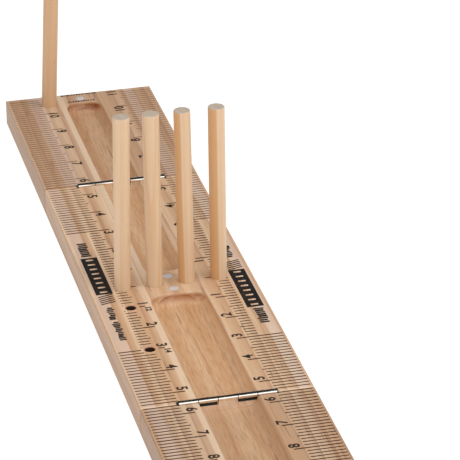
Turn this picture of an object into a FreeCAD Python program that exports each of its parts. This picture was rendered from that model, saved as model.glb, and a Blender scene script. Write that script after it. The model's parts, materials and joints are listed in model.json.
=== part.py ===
"""Folding ribbon loom: three pine boards in line, joined by two small butt hinges, with loose dowel
pegs that stand in the top, magnets that hold it shut and troughs that store the pegs.

Frame: X across the boards, +Y along them, +Z up. The origin is the middle of the centre board's
underside. Lengths are millimetres and angles degrees.
"""
import FreeCAD, Part
import os
import re

import Sketcher
from FreeCAD import Placement, Rotation, Vector

SIZES = {
    # the three boards
    "board_width": 95.25,
    "board_thick": 15.875,
    "centre_length": 279.4,
    "wing_length": 139.7,
    "joint_gap": 0.3,          # between the end faces of neighbouring boards
    "edge_round": 0.6,         # sanded round on every outer edge of a board
    # storage troughs, open towards the hinges and rounded at the other end
    "near_trough_width": 31.75,
    "far_trough_width": 22.25,
    "trough_depth": 6.35,
    "trough_corner": 7.5,
    "trough_cove": 4.9,        # hollow corner between a trough's floor and its walls
    "rim_round": 1.3,          # where a trough's walls meet the top face
    "centre_rib": 30.5,        # solid wood between the centre board's troughs
    "end_rib": 15.25,          # solid wood at the outer end of a wing
    # dowel pegs
    "peg_diameter": 9.525,
    "peg_length": 114.3,
    "peg_pitch": 18.75,
    "peg_hole_depth": 8.0,
    "peg_clear": 0.1,          # all round a peg in its hole
    "drill_start": 2.0,        # the drill starts this far above a board's face
    "peg_chamfer": 0.6,
    "end_peg_x": 21.5,         # end peg, from the far wing's centre line
    "end_peg_inset": 13.5,     # end peg, from the far wing's outer end
    "lean_one": 1.2,           # the holes are drilled a little off square
    "lean_two": 0.1,
    "lean_three": -0.4,
    "lean_four": 0.1,
    "lean_end": 3.2,
    # two empty holes beside the near trough
    "spare_hole_diameter": 5.5,
    "spare_hole_depth": 10.0,
    "spare_hole_chamfer": 0.4,
    "spare_hole_x": 28.6,
    "spare_hole_first": 25.4,
    "spare_hole_second": 76.2,
    # disc magnets
    "magnet_diameter": 6.0,
    "magnet_thick": 2.5,
    "magnet_sink": 0.1,        # below the wood's face
    "magnet_offset": 8.0,      # from the middle of the loom, and from a wing's outer end
    "magnet_clear": 0.05,
    "magnet_round": 0.25,
    # hinges
    "hinge_length": 54.0,
    "hinge_lift": 0.1,         # hinge axis above the boards' top faces
    "barrel_diameter": 3.2,
    "pin_diameter": 1.8,
    "pin_clear": 0.05,
    "pin_chamfer": 0.25,
    "knuckle_gap": 0.2,
    "leaf_thick": 1.0,
    "leaf_drop": 12.0,         # from the axis down to the leaf's lower edge
    "notch_drop": 2.9,         # from the axis down to the floor of a knuckle notch
    "seat_clear": 0.3,         # round the barrel, and at the edges of a leaf
    # countersunk screws that hold the leaves
    "screw_diameter": 2.8,
    "screw_head_diameter": 4.6,
    "screw_length": 12.0,
    "screw_tip": 2.5,
    "screw_sink": 0.05,
    "screw_clear": 0.05,
    "screw_x": 20.5,
    "screw_drop": 6.0,
    "recess_width": 0.6,
    "recess_length": 2.8,
    "recess_depth": 0.9,
}
KNUCKLES = 5
CENTRE_KNUCKLES = (1, 3)       # counted from 0 along the barrel
WING_KNUCKLES = (0, 2, 4)

doc = FreeCAD.newDocument("ribbon_loom")
sheet = doc.addObject("Spreadsheet::Sheet", "Sizes")
for row, (name, value) in enumerate(SIZES.items(), start=1):
    sheet.set(f"A{row}", name)
    sheet.set(f"B{row}", str(value))
    sheet.setAlias(f"B{row}", name)
doc.recompute()
sub_parts = []


# ---------------------------------------------------------------- helpers
def cells(expression):
    """The expression with each size's name pointed at its cell in the sheet."""
    return re.sub(r"[a-z_]+", lambda m: f"Sizes.{m[0]}" if m[0] in SIZES else m[0], expression)


def new_body(label):
    """An empty body that becomes one sub-part."""
    body = doc.addObject("PartDesign::Body", label)
    body.Label = label
    sub_parts.append(body)
    return body


def place(thing, x="0", y="0", z="0", turn=0.0):
    """Bind where a sub-part stands, and turn it about the vertical."""
    thing.Placement = Placement(Vector(0, 0, 0), Rotation(Vector(0, 0, 1), turn))
    for axis, expression in zip("xyz", (x, y, z)):
        thing.setExpression(f"Placement.Base.{axis}", cells(expression))


def new_sketch(body, name, plane, lift="0"):
    """A sketch on one of the body's own origin planes, lifted along that plane's normal."""
    sketch = body.newObject("Sketcher::SketchObject", name)
    support = next(f for f in body.Origin.OriginFeatures if f.Role == plane)
    sketch.AttachmentSupport = [(support, "")]
    sketch.MapMode = "FlatFace"
    sketch.setExpression("AttachmentOffset.Base.z", cells(lift))
    return sketch


def hold(sketch, kind, *where, to):
    """Add one dimension to a sketch and bind it."""
    index = sketch.addConstraint(Sketcher.Constraint(kind, *where, 1.0))
    sketch.setExpression(f"Constraints[{index}]", cells(to))


def rectangle(sketch, left, right, low, high):
    """A rectangle whose four sides are each dimensioned from the sketch's origin."""
    corners = [Vector(0, 0, 0), Vector(1, 0, 0), Vector(1, 1, 0), Vector(0, 1, 0)]
    first = sketch.GeometryCount
    for start, end in zip(corners, corners[1:] + corners[:1]):
        sketch.addGeometry(Part.LineSegment(start, end))
    for side in range(4):
        after = first + (side + 1) % 4
        sketch.addConstraint(Sketcher.Constraint("Coincident", first + side, 2, after, 1))
        along = "Horizontal" if side % 2 == 0 else "Vertical"
        sketch.addConstraint(Sketcher.Constraint(along, first + side))
    hold(sketch, "DistanceX", -1, 1, first, 1, to=left)
    hold(sketch, "DistanceY", -1, 1, first, 1, to=low)
    hold(sketch, "DistanceX", -1, 1, first + 2, 1, to=right)
    hold(sketch, "DistanceY", -1, 1, first + 2, 1, to=high)


def circle(sketch, across, up, diameter):
    """A circle whose centre is dimensioned from the sketch's origin."""
    number = sketch.addGeometry(Part.Circle(Vector(1, 1, 0), Vector(0, 0, 1), 1))
    hold(sketch, "DistanceX", -1, 1, number, 3, to=across)
    hold(sketch, "DistanceY", -1, 1, number, 3, to=up)
    hold(sketch, "Diameter", number, to=diameter)


def extrude(body, kind, name, sketch, length, both_ways=False, flip=False):
    """Pad or pocket a sketch, and make sure that it changed the solid the right way."""
    before = body.Shape.Volume if body.Tip else 0.0
    feature = body.newObject(f"PartDesign::{kind}", name)
    feature.Profile = sketch
    feature.SideType = "Symmetric" if both_ways else "One side"
    feature.Reversed = flip
    feature.setExpression("Length", cells(length))
    doc.recompute()
    change = body.Shape.Volume - before
    if change * (1 if kind == "Pad" else -1) <= 0:
        raise RuntimeError(f"{body.Label}: {name} changed nothing")
    return feature


def ease(body, kind, name, prop, amount, wanted):
    """Fillet or chamfer the edges of the body's tip that a test picks out."""
    base = body.Tip
    edges = enumerate(base.Shape.Edges, 1)
    names = [f"Edge{i}" for i, edge in edges if not edge.Degenerated and wanted(edge)]
    if not names:
        raise RuntimeError(f"{body.Label}: {name} found no edge")
    feature = body.newObject(f"PartDesign::{kind}", name)
    feature.Base = (base, names)
    feature.setExpression(prop, cells(amount))
    doc.recompute()
    return feature


def runs_along(edge, axis):
    """True when a straight edge lies along the given axis."""
    if not isinstance(edge.Curve, Part.Line):
        return False
    return abs(edge.Curve.Direction.dot(axis)) > 0.999


def size(name):
    """A size as the sheet holds it."""
    return float(sheet.get(name))


X_AXIS, Y_AXIS, Z_AXIS = Vector(1, 0, 0), Vector(0, 1, 0), Vector(0, 0, 1)


# ---------------------------------------------------------------- boards
def cut_trough(body, name, width, closed_end, open_end, side):
    """A trough from its rounded, closed end out through the end face at open_end.

    side is the way it runs from its closed end. A hollow cove joins its flat floor to its walls,
    and the rim is sanded round.
    """
    sketch = new_sketch(body, f"{name}_sketch", "XY_Plane", "board_thick")
    ends = (closed_end, open_end) if side > 0 else (open_end, closed_end)
    rectangle(sketch, f"-({width}) / 2", f"({width}) / 2", *ends)
    extrude(body, "Pocket", name, sketch, "trough_depth")
    deep = size("board_thick") - size("trough_depth") / 2

    def closed_corner(edge):
        middle = edge.CenterOfMass
        at_closed_end = abs(middle.y - closed_end_y) < 0.01
        return runs_along(edge, Z_AXIS) and abs(middle.z - deep) < 0.01 and at_closed_end

    def floor_edge(edge):
        middle = edge.CenterOfMass
        on_floor = abs(middle.z - size("board_thick") + size("trough_depth")) < 0.01
        at_open_end = abs(middle.x) < 0.01 and abs(middle.y - closed_end_y) > 1
        return on_floor and not at_open_end

    def rim(edge):
        middle = edge.CenterOfMass
        on_top = abs(middle.z - size("board_thick")) < 0.01
        return on_top and bounds.isInside(Vector(middle.x, middle.y, bounds.ZMin))

    bounds = sketch.Shape.BoundBox
    closed_end_y = bounds.YMin if side > 0 else bounds.YMax
    ease(body, "Fillet", f"{name}_corners", "Radius", "trough_corner", closed_corner)
    ease(body, "Fillet", f"{name}_cove", "Radius", "trough_cove", floor_edge)
    bounds.enlarge(0.01)
    ease(body, "Fillet", f"{name}_rim", "Radius", "rim_round", rim)


def cut_hinge_seat(body, name, joint_y, side):
    """Room for a hinge at a board's end: side is +1 where the board lies on the joint's +Y side.

    The barrel lies in a round groove along the top corner, the leaf is let in flush with the end
    face, and two pilot holes take its screws.
    """
    axis_z = "board_thick + hinge_lift"
    leaf_back = f"{joint_y} + {side} * (joint_gap / 2 + leaf_thick)"
    ends = (joint_y, leaf_back) if side > 0 else (leaf_back, joint_y)

    groove = new_sketch(body, f"{name}_groove_sketch", "YZ_Plane")
    circle(groove, joint_y, axis_z, "barrel_diameter + 2 * seat_clear")
    extrude(body, "Pocket", f"{name}_groove", groove, "hinge_length + 4 * seat_clear", both_ways=True)

    mortise = new_sketch(body, f"{name}_mortise_sketch", "YZ_Plane")
    rectangle(mortise, *ends, f"{axis_z} - leaf_drop - seat_clear", "board_thick + 1")
    mortise_length = "hinge_length + 2 * seat_clear"
    extrude(body, "Pocket", f"{name}_mortise", mortise, mortise_length, both_ways=True)

    pilots = new_sketch(body, f"{name}_pilot_sketch", "XZ_Plane", f"-({joint_y})")
    for across in ("-screw_x", "screw_x"):
        circle(pilots, across, f"{axis_z} - screw_drop", "screw_diameter + 2 * screw_clear")
    pilot_depth = "screw_length + joint_gap + screw_clear"
    extrude(body, "Pocket", f"{name}_pilots", pilots, pilot_depth, flip=side < 0)


def cut_magnet_pocket(body, name, y):
    """A blind round pocket on the centre line for one disc magnet."""
    sketch = new_sketch(body, f"{name}_sketch", "XY_Plane", "board_thick")
    circle(sketch, "0", y, "magnet_diameter + 2 * magnet_clear")
    extrude(body, "Pocket", name, sketch, "magnet_thick + magnet_sink")


def cut_peg_hole(body, name, x, y, lean):
    """A blind peg hole that leans towards +X; the drill starts above the face by drill_start."""
    sketch = new_sketch(body, f"{name}_sketch", "XY_Plane", f"board_thick + drill_start * cos({lean})")
    circle(sketch, "0", "0", "peg_diameter + 2 * peg_clear")
    sketch.AttachmentOffset = Placement(Vector(0, 0, 0), Rotation(Y_AXIS, 1.0))
    sketch.setExpression("AttachmentOffset.Rotation.Angle", cells(lean))
    sketch.setExpression("AttachmentOffset.Base.x", cells(f"{x} + drill_start * sin({lean})"))
    sketch.setExpression("AttachmentOffset.Base.y", cells(y))
    extrude(body, "Pocket", name, sketch, "peg_hole_depth + drill_start")


def blank(body, start, end):
    """The sawn board, with all its edges sanded round."""
    outline = new_sketch(body, "outline", "XY_Plane")
    rectangle(outline, "-board_width / 2", "board_width / 2", start, end)
    extrude(body, "Pad", "board", outline, "board_thick")
    ease(body, "Fillet", "sanded_edges", "Radius", "edge_round", lambda edge: True)


def make_centre_board():
    """The long middle board: two troughs, four peg holes, two empty holes and two magnet pockets."""
    body = new_body("centre_board")
    half = "centre_length / 2"
    blank(body, f"-{half} + joint_gap / 2", f"{half} - joint_gap / 2")
    cut_trough(body, "near_trough", "near_trough_width", "-centre_rib / 2", f"-{half}", -1)
    cut_trough(body, "far_trough", "far_trough_width", "centre_rib / 2", half, 1)
    cut_hinge_seat(body, "near_hinge", f"-{half}", 1)
    cut_hinge_seat(body, "far_hinge", half, -1)
    for place_in_row, (number, lean) in enumerate(ROW_PEGS.items()):
        x = f"({place_in_row} - 1.5) * peg_pitch"
        cut_peg_hole(body, f"{number}_hole", x, "0", lean)
    spare = new_sketch(body, "spare_hole_sketch", "XY_Plane", "board_thick")
    for along in ("spare_hole_first", "spare_hole_second"):
        circle(spare, "-spare_hole_x", f"-{along}", "spare_hole_diameter")
    extrude(body, "Pocket", "spare_holes", spare, "spare_hole_depth")

    def spare_rim(edge):
        on_top = abs(edge.CenterOfMass.z - size("board_thick")) < 0.01
        return on_top and abs(edge.CenterOfMass.x + size("spare_hole_x")) < 0.01

    ease(body, "Chamfer", "spare_hole_rims", "Size", "spare_hole_chamfer", spare_rim)
    cut_magnet_pocket(body, "near_magnet_pocket", "-magnet_offset")
    cut_magnet_pocket(body, "far_magnet_pocket", "magnet_offset")


def make_wing(label, trough_width, side, end_peg_lean=None):
    """A wing, modelled outwards along +Y from its hinge axis at Y 0, then turned to its side."""
    body = new_body(label)
    blank(body, "joint_gap / 2", "wing_length")
    trough_end = "wing_length - end_rib"
    cut_trough(body, "trough", trough_width, trough_end, "0", -1)
    cut_hinge_seat(body, "hinge", "0", 1)
    if end_peg_lean:
        cut_peg_hole(body, "end_peg_hole", "-end_peg_x", "wing_length - end_peg_inset", end_peg_lean)
    cut_magnet_pocket(body, "magnet_pocket", "wing_length - magnet_offset")
    place(body, y=f"{side} * centre_length / 2", turn=0.0 if side > 0 else 180.0)


# ---------------------------------------------------------------- hinges
def make_leaf(label, own_knuckles, bore, joint_side, leaf_side):
    """A hinge leaf about its own axis, hanging on the +Y side, then turned to its board's side."""
    body = new_body(label)
    pitch = f"hinge_length / {KNUCKLES}"
    plate = new_sketch(body, "plate_sketch", "XZ_Plane", "-joint_gap / 2")
    rectangle(plate, "-hinge_length / 2", "hinge_length / 2", "-leaf_drop", "0")
    extrude(body, "Pad", "plate", plate, "leaf_thick", flip=True)

    barrel = new_sketch(body, "barrel_sketch", "YZ_Plane")
    circle(barrel, "0", "0", "barrel_diameter")
    extrude(body, "Pad", "barrel", barrel, "hinge_length", both_ways=True)

    notches = new_sketch(body, "notch_sketch", "XZ_Plane")
    for number in range(KNUCKLES):
        if number in own_knuckles:
            continue
        left = f"({number} - {KNUCKLES} / 2) * {pitch}"
        first = number == 0
        last = number == KNUCKLES - 1
        start = f"{left} - 1" if first else f"{left} - knuckle_gap / 2"
        end = f"{left} + {pitch} + 1" if last else f"{left} + {pitch} + knuckle_gap / 2"
        rectangle(notches, start, end, "-notch_drop", "barrel_diameter")
    extrude(body, "Pocket", "notches", notches, "4 * barrel_diameter", both_ways=True)

    bore_sketch = new_sketch(body, "pin_bore_sketch", "YZ_Plane")
    circle(bore_sketch, "0", "0", bore)
    extrude(body, "Pocket", "pin_bore", bore_sketch, "hinge_length + 1", both_ways=True)

    holes = new_sketch(body, "screw_hole_sketch", "XZ_Plane", "-joint_gap / 2")
    for across in ("-screw_x", "screw_x"):
        circle(holes, across, "-screw_drop", "screw_diameter + 2 * screw_clear")
    extrude(body, "Pocket", "screw_holes", holes, "leaf_thick")

    def front_rim(edge):
        round_edge = isinstance(edge.Curve, Part.Circle)
        if not round_edge or abs(edge.Curve.Axis.y) < 0.9:
            return False
        return abs(edge.CenterOfMass.y - size("joint_gap") / 2) < 0.01

    sinking = "screw_head_diameter / 2 - screw_diameter / 2 - screw_clear"
    ease(body, "Chamfer", "countersinks", "Size", sinking, front_rim)
    stand_at_hinge(body, joint_side, leaf_side)


def stand_at_hinge(thing, joint_side, leaf_side):
    """Move a hinge piece from its own axis to one of the two joints."""
    turn = 0.0 if leaf_side > 0 else 180.0
    place(thing, y=f"{joint_side} * centre_length / 2", z="board_thick + hinge_lift", turn=turn)


def make_pin(label, joint_side):
    """The steel pin through all five knuckles, gripped by the wing's leaf."""
    body = new_body(label)
    sketch = new_sketch(body, "pin_sketch", "YZ_Plane")
    circle(sketch, "0", "0", "pin_diameter")
    extrude(body, "Pad", "pin", sketch, "hinge_length", both_ways=True)
    ease(body, "Chamfer", "pin_ends", "Size", "pin_chamfer", lambda e: isinstance(e.Curve, Part.Circle))
    stand_at_hinge(body, joint_side, 1)


def make_screws(label, joint_side, leaf_side):
    """The two countersunk screws of one leaf: one is built from primitives, the other mirrored."""
    def primitive(kind, name, start, **sizes):
        piece = doc.addObject(f"Part::{kind}", f"{label}_{name}")
        piece.Placement = Placement(Vector(0, 0, 0), Rotation(X_AXIS, -90))
        piece.setExpression("Placement.Base.x", cells("screw_x"))
        piece.setExpression("Placement.Base.y", cells(start))
        piece.setExpression("Placement.Base.z", cells("-screw_drop"))
        for prop, expression in sizes.items():
            piece.setExpression(prop, cells(expression))
        return piece

    face = "joint_gap / 2 + screw_sink"
    shank_r = "screw_diameter / 2"
    head_r = "(screw_head_diameter / 2 - screw_sink)"
    head_height = f"({head_r} - {shank_r})"
    head = primitive("Cone", "head", face, Radius1=head_r, Radius2=shank_r, Height=head_height)
    shank_end = f"({face} + screw_length - screw_tip)"
    shank_length = f"screw_length - screw_tip - {head_height}"
    shank = primitive("Cylinder", "shank", f"{face} + {head_height}", Radius=shank_r, Height=shank_length)
    tip = primitive("Cone", "tip", shank_end, Radius1=shank_r, Radius2="0.1", Height="screw_tip")
    whole = doc.addObject("Part::MultiFuse", f"{label}_whole")
    whole.Shapes = [head, shank, tip]

    bars = []
    for name, wide, tall in (("bar_across", "recess_length", "recess_width"),
                             ("bar_upright", "recess_width", "recess_length")):
        bar = doc.addObject("Part::Box", f"{label}_{name}")
        bar.setExpression("Length", cells(wide))
        bar.setExpression("Height", cells(tall))
        bar.setExpression("Width", cells("recess_depth + 1"))
        bar.setExpression("Placement.Base.x", cells(f"screw_x - {wide} / 2"))
        bar.setExpression("Placement.Base.y", cells(f"{face} - 1"))
        bar.setExpression("Placement.Base.z", cells(f"-screw_drop - {tall} / 2"))
        bars.append(bar)
    cross = doc.addObject("Part::MultiFuse", f"{label}_cross")
    cross.Shapes = bars
    screw = doc.addObject("Part::Cut", f"{label}_screw")
    screw.Base = whole
    screw.Tool = cross
    twin = doc.addObject("Part::Mirroring", f"{label}_twin")
    twin.Source = screw
    twin.Normal = X_AXIS
    pair = doc.addObject("Part::Compound", label)
    pair.Label = label
    pair.Links = [screw, twin]
    stand_at_hinge(pair, joint_side, leaf_side)
    sub_parts.append(pair)


# ---------------------------------------------------------------- magnets and pegs
def make_magnet(label, y):
    """A disc magnet that rests on its pocket's floor, just below the wood's face."""
    body = new_body(label)
    sketch = new_sketch(body, "disc_sketch", "XY_Plane")
    circle(sketch, "0", "0", "magnet_diameter")
    extrude(body, "Pad", "disc", sketch, "magnet_thick")
    ease(body, "Fillet", "disc_rims", "Radius", "magnet_round", lambda e: isinstance(e.Curve, Part.Circle))
    place(body, y=y, z="board_thick - magnet_sink - magnet_thick")


def make_peg(label, x, y, lean):
    """A dowel with chamfered ends, down in its hole and leaning with it."""
    body = new_body(label)
    sketch = new_sketch(body, "dowel_sketch", "XY_Plane")
    circle(sketch, "0", "0", "peg_diameter")
    extrude(body, "Pad", "dowel", sketch, "peg_length")
    ease(body, "Chamfer", "dowel_ends", "Size", "peg_chamfer", lambda e: isinstance(e.Curve, Part.Circle))
    body.Placement = Placement(Vector(0, 0, 0), Rotation(Y_AXIS, 1.0))
    body.setExpression("Placement.Rotation.Angle", cells(lean))
    body.setExpression("Placement.Base.x", cells(f"{x} - peg_hole_depth * sin({lean})"))
    body.setExpression("Placement.Base.y", cells(y))
    body.setExpression("Placement.Base.z", cells(f"board_thick - peg_hole_depth * cos({lean})"))


# ---------------------------------------------------------------- the loom
ROW_PEGS = {"peg_one": "lean_one", "peg_two": "lean_two", "peg_three": "lean_three", "peg_four": "lean_four"}

make_centre_board()
make_wing("near_wing", "near_trough_width", -1)
make_wing("far_wing", "far_trough_width", 1, end_peg_lean="lean_end")

LOOSE_BORE, TIGHT_BORE = "pin_diameter + 2 * pin_clear", "pin_diameter"
for joint_name, joint_side in (("near", -1), ("far", 1)):
    make_leaf(f"{joint_name}_hinge_centre_leaf", CENTRE_KNUCKLES, LOOSE_BORE, joint_side, -joint_side)
    make_leaf(f"{joint_name}_hinge_wing_leaf", WING_KNUCKLES, TIGHT_BORE, joint_side, joint_side)
    make_pin(f"{joint_name}_hinge_pin", joint_side)
    make_screws(f"{joint_name}_centre_leaf_screws", joint_side, -joint_side)
    make_screws(f"{joint_name}_wing_leaf_screws", joint_side, joint_side)
    wing_end = f"{joint_side} * (centre_length / 2 + wing_length - magnet_offset)"
    make_magnet(f"centre_magnet_{joint_name}", f"{joint_side} * magnet_offset")
    make_magnet(f"{joint_name}_wing_magnet", wing_end)

for place_in_row, (label, lean) in enumerate(ROW_PEGS.items()):
    make_peg(label, f"({place_in_row} - 1.5) * peg_pitch", "0", lean)
make_peg("end_peg", "-end_peg_x", "centre_length / 2 + wing_length - end_peg_inset", "lean_end")

# ---------------------------------------------------------------- checks and files
doc.recompute()
for thing in doc.Objects:
    if {"Invalid", "Error"} & set(thing.State):
        raise RuntimeError(f"{thing.Label} failed: {thing.State}")
os.makedirs("parts", exist_ok=True)
for thing in sub_parts:
    if thing.Shape.isNull() or not thing.Shape.isValid():
        raise RuntimeError(f"{thing.Label} has no valid shape")
    thing.Shape.exportStep(f"parts/{thing.Label}.step")
    box = thing.Shape.BoundBox
    print(f"{thing.Label:26s} solids {len(thing.Shape.Solids)}  volume {thing.Shape.Volume:10.1f}  "
          f"X {box.XMin:8.2f} {box.XMax:8.2f}  Y {box.YMin:8.2f} {box.YMax:8.2f}  Z {box.ZMin:7.2f} {box.ZMax:7.2f}")
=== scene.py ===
# %% [markdown]
# # A folding ribbon loom in pine
#
# Three pine boards in line, two small nickel butt hinges, five loose dowel pegs, four disc magnets
# and an inch scale printed down both sides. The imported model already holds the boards, hinges,
# screws and magnets at their exact sizes, so this lesson gives those their finishes and then adds
# what a joiner and a printer would add: turned dowels with soft ends, the printed lines and numbers,
# and a printed band without words on each side.

# %% Load the frame
import json
import math

import bpy
import numpy as np
from mathutils import Matrix, Vector


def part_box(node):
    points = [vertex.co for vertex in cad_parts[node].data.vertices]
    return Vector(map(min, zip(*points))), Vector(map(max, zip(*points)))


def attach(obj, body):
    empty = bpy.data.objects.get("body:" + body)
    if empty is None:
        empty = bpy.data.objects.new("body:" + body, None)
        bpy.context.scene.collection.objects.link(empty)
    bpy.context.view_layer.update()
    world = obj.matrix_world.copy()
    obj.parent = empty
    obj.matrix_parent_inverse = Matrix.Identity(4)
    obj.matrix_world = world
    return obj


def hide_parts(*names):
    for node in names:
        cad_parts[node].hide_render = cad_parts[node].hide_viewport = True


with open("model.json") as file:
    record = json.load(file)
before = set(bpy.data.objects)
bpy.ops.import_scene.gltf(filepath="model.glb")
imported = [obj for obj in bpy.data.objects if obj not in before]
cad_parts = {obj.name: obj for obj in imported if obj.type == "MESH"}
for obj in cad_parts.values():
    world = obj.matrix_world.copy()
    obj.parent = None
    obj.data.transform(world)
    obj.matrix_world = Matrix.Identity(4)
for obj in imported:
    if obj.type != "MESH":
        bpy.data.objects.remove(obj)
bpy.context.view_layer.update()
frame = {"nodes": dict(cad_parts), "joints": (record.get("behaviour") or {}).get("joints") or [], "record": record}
nodes = frame["nodes"]

# %% [markdown]
# ## Sizes that everything hangs on
#
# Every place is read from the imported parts. The top of the boards and the joints between them come
# from the hinge pins, and the troughs' edges from the openings in the record. One inch is the unit
# of the printed scale.

# %% Measure the frame
INCH = 0.0254
MM = 0.001
PIN_ABOVE_TOP = 0.1 * MM
OPENING_ABOVE_FLOOR = 1.075 * MM


def record_box(name):
    """The lowest and highest corner of one named opening in the record."""
    found = next(o for o in frame["record"]["physics"]["openings"] if o["name"] == name)
    return [Vector(corner) for corner in found["box_m"]]


def joint_named(name):
    """One joint of the record."""
    return next(j for j in frame["joints"] if j["name"] == name)


board_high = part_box("far_wing")[1]
joint_y = joint_named("far_wing_fold")["pos_m"][1]
hinge_z = joint_named("far_wing_fold")["pos_m"][2]
top_z = hinge_z - PIN_ABOVE_TOP
half_width = board_high.x
loom_end_y = board_high.y
HINGE_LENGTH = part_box("near_hinge_pin")[1].x * 2
floor_z = record_box("centre_near_trough")[0].z - OPENING_ABOVE_FLOOR
print(f"top {top_z / MM:.3f} mm, joints at {joint_y / MM:.1f} mm, trough floor {floor_z / MM:.2f} mm")

# %% [markdown]
# ## Camera
#
# A long lens far away keeps the boards' edges nearly parallel. Its place is given in metres from the
# loom's middle, and it looks along a fixed direction with a very slight roll, as a hand-levelled
# tripod has.

# %% Camera
SENSOR_MM = 36.0
LENS_MM = 238.2
FAR_CLIP = 20.0
CAMERA_INCHES = Vector((-12.541, -59.676, 31.112))
camera_data = bpy.data.cameras.new("camera")
camera_data.sensor_width = SENSOR_MM
camera_data.lens = LENS_MM
camera_data.clip_end = FAR_CLIP
camera = bpy.data.objects.new("camera", camera_data)
bpy.context.scene.collection.objects.link(camera)
camera_place = CAMERA_INCHES * INCH + Vector((0, 0, top_z))
look = Vector((0.20414, 0.87471, -0.43956)).normalized()
across = Vector((0.9722, -0.2336, -0.0134))
across = (across - look * across.dot(look)).normalized()
upward = across.cross(look)
turned = Matrix((across, upward, -look)).transposed().to_4x4()
camera.matrix_world = Matrix.Translation(camera_place) @ turned
bpy.context.scene.camera = camera
print("camera", [round(v, 3) for v in camera_place], "lens", camera_data.lens)

# %% [markdown]
# ## Floor, backdrop and lights
#
# The loom lies on a pale floor under soft light, as in a small light tent. One large lamp stands high
# on the right and one in front, so left-facing sides fall slightly darker. The floor glows a little
# by itself, so it stays even and pale. Two black cards and a white one stand round the loom and are
# seen in reflections only: the nickel barrels need something dark and something bright to reflect,
# or they look like white plastic.

# %% Floor and lights
def soft_lamp(name, place, target, size, watts):
    """A square area lamp at place, aimed at target."""
    data = bpy.data.lights.new(name, "AREA")
    data.energy = watts
    data.size = size
    lamp = bpy.data.objects.new(name, data)
    bpy.context.scene.collection.objects.link(lamp)
    aim = (Vector(target) - Vector(place)).to_track_quat("-Z", "Y")
    lamp.matrix_world = Matrix.Translation(Vector(place)) @ aim.to_matrix().to_4x4()
    return lamp


def flat_rectangle(name, corners, material):
    """A stage surface with the given four corners."""
    mesh = bpy.data.meshes.new(name)
    mesh.from_pydata([tuple(c) for c in corners], [], [(0, 1, 2, 3)])
    thing = bpy.data.objects.new(name, mesh)
    bpy.context.scene.collection.objects.link(thing)
    thing.data.materials.append(material)
    return thing


def plain_material(name, color, roughness, glow=0.0):
    """A plain surface for the stage; glow is a little light of its own."""
    made = bpy.data.materials.new(name)
    made.use_nodes = True
    shader = made.node_tree.nodes["Principled BSDF"]
    shader.inputs["Base Color"].default_value = (*color, 1.0)
    shader.inputs["Roughness"].default_value = roughness
    shader.inputs["Emission Color"].default_value = (1.0, 1.0, 1.0, 1.0)
    shader.inputs["Emission Strength"].default_value = glow
    return made


FLOOR_REACH = 6.0
floor_corners = [(-FLOOR_REACH, -FLOOR_REACH, 0), (FLOOR_REACH, -FLOOR_REACH, 0),
                 (FLOOR_REACH, FLOOR_REACH, 0), (-FLOOR_REACH, FLOOR_REACH, 0)]
flat_rectangle("floor", floor_corners, plain_material("floor_paper", (0.25, 0.25, 0.25), 0.9, 0.86))
CARD_BLACK = plain_material("card_black", (0.01, 0.01, 0.01), 0.9)
CARD_WHITE = plain_material("card_white", (0.8, 0.8, 0.8), 0.9, 0.75)
cards = {
    "card_behind": ((2.80, 0.45), (-0.67, 2.60), CARD_BLACK),
    "card_overhead": ((-0.67, 2.60), (-2.20, 2.15), CARD_BLACK),
    "card_front": ((-3.00, 0.42), (-3.00, 2.90), CARD_WHITE),
}
for name, (low, high, material) in cards.items():
    card_corners = [(-2.5, *low), (2.5, *low), (2.5, *high), (-2.5, *high)]
    card = flat_rectangle(name, card_corners, material)
    card.visible_camera = False
    card.visible_diffuse = False
    card.visible_shadow = False

soft_lamp("key_right", (1.3, -0.7, 1.9), (0, 0, 0), 1.3, 16.0)
soft_lamp("fill_front", (-0.5, -2.2, 1.6), (0, 0, 0), 1.6, 16.0)
world = bpy.data.worlds.new("tent")
world.use_nodes = True
world.node_tree.nodes["Background"].inputs["Color"].default_value = (1.0, 1.0, 1.0, 1.0)
world.node_tree.nodes["Background"].inputs["Strength"].default_value = 0.75
bpy.context.scene.world = world
bpy.context.scene.view_settings.view_transform = "Standard"

# %% [markdown]
# ## Writing shaders as sums
#
# A wood shader is mostly arithmetic on the position of a point. Adding forty Math nodes by hand is
# hard to read, so a small class wraps one socket and lets Python's operators add the nodes. A value
# that is only numbers is worked out in Python and never becomes a node.

# %% Socket arithmetic
class Value:
    """A number or a node's output socket inside one recipe."""

    def __init__(self, recipe, socket):
        self.recipe = recipe
        self.socket = socket

    def _math(self, operation, *others):
        return self.recipe.node("ShaderNodeMath", {"operation": operation}, [self, *others])

    def __add__(self, other):
        return self._math("ADD", other)

    def __radd__(self, other):
        return self._math("ADD", other)

    def __sub__(self, other):
        return self._math("SUBTRACT", other)

    def __rsub__(self, other):
        return self.recipe.node("ShaderNodeMath", {"operation": "SUBTRACT"}, [other, self])

    def __mul__(self, other):
        return self._math("MULTIPLY", other)

    def __rmul__(self, other):
        return self._math("MULTIPLY", other)

    def __truediv__(self, other):
        return self._math("DIVIDE", other)

    def __abs__(self):
        return self._math("ABSOLUTE")

    def root(self):
        """The square root."""
        return self._math("SQRT")

    def fraction(self):
        """The part after the decimal point."""
        return self._math("FRACT")

    def step(self, low, high):
        """0 below low, 1 above high and smooth between them. low may be the larger, to fall instead."""
        falling = low > high
        bounds = (high, low, 1.0, 0.0) if falling else (low, high, 0.0, 1.0)
        settings = {"interpolation_type": "SMOOTHSTEP", "clamp": True}
        return self.recipe.node("ShaderNodeMapRange", settings, [self, *bounds])


print("operators on sockets: + - * / abs, and root, fraction and step")

# %% [markdown]
# ## A recipe for a material
#
# One object holds one material's node tree. Its node method adds any node: the settings first, then
# a value or a link for each socket. The others are short names for the nodes that wood and metal
# need most, and finish feeds the shader.

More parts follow.
